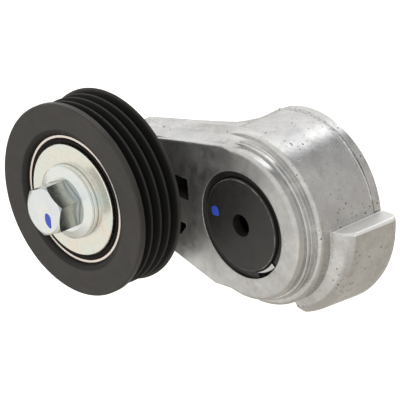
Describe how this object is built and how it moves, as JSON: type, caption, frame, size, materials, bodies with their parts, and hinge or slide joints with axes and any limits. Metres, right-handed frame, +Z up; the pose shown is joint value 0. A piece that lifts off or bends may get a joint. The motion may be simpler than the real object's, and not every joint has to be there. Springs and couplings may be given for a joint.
{
  "type": "belt tensioner idler",
  "caption": "Automatic belt tensioner: a sprung die-cast arm on a hollow pivot carries a grooved idler pulley on a sealed ball bearing.",
  "frame": {"origin": "centre of the mounting bore on the base's flat mounting face", "axes": "Y along the pivot with the bolt side towards -Y, the arm and pulley towards -X, +Z up"},
  "size_m": [0.1112, 0.0733, 0.06],
  "materials": {
    "cast_aluminium": "die-cast, satin, slightly pitted",
    "machined_steel": "turned, lightly oiled",
    "black_steel": "black phosphate, low sheen",
    "pulley_black": "black e-coat, satin",
    "zinc_blue": "clear blue zinc plating",
    "zinc_cream": "pale yellow-green zinc plating",
    "bearing_steel": "ground",
    "polished_steel": "polished balls",
    "cage_steel": "pressed strip",
    "seal_rubber": "moulded, dark brown-black",
    "bumper_rubber": "moulded",
    "spring_steel": "shot-peened and oiled",
    "strip_steel": "spring strip",
    "nylon_black": "moulded",
    "nylon_natural": "moulded"
  },
  "bodies": {
    "base": {"base_casting": "cast_aluminium", "pivot_shaft": "machined_steel", "front_plate": "black_steel", "locating_pin": "machined_steel", "stop_bumper": "bumper_rubber", "torsion_spring": "spring_steel", "damping_band": "nylon_black", "band_backing": "strip_steel"},
    "arm": {"arm_casting": "cast_aluminium", "bearing_spigot": "machined_steel", "pivot_bushing": "nylon_natural", "front_thrust_washer": "nylon_natural", "rear_thrust_washer": "nylon_natural", "friction_ring": "nylon_black", "spring_liner": "nylon_natural", "bearing_inner_race": "bearing_steel", "front_dust_shield": "zinc_cream", "rear_dust_shield": "black_steel", "bolt_washer": "zinc_blue", "pulley_bolt": "zinc_blue"},
    "pulley": {"pulley": "pulley_black", "bearing_outer_race": "bearing_steel", "front_seal": "seal_rubber", "rear_seal": "seal_rubber"},
    "cage": {"bearing_balls": "polished_steel", "front_cage_half": "cage_steel", "rear_cage_half": "cage_steel", "cage_rivets": "cage_steel"}
  },
  "joints": [
    {"name": "arm_pivot", "type": "hinge", "parent": "base", "child": "arm", "pos_m": [0, 0, 0], "axis": [0, 1, 0], "range_deg": [0, 45], "stiffness_Nm_per_rad": 8, "springref_deg": -57.3, "deforming": ["torsion_spring"]},
    {"name": "pulley_spin", "type": "hinge", "parent": "arm", "child": "pulley", "pos_m": [-0.0465, 0, 0], "axis": [0, 1, 0], "continuous": true},
    {"name": "cage_spin", "type": "hinge", "parent": "arm", "child": "cage", "pos_m": [-0.0465, 0, 0], "axis": [0, 1, 0], "continuous": true}
  ],
  "couplings": [
    {"joint": "cage_spin", "follows": "pulley_spin", "ratio": 0.6184}
  ]
}
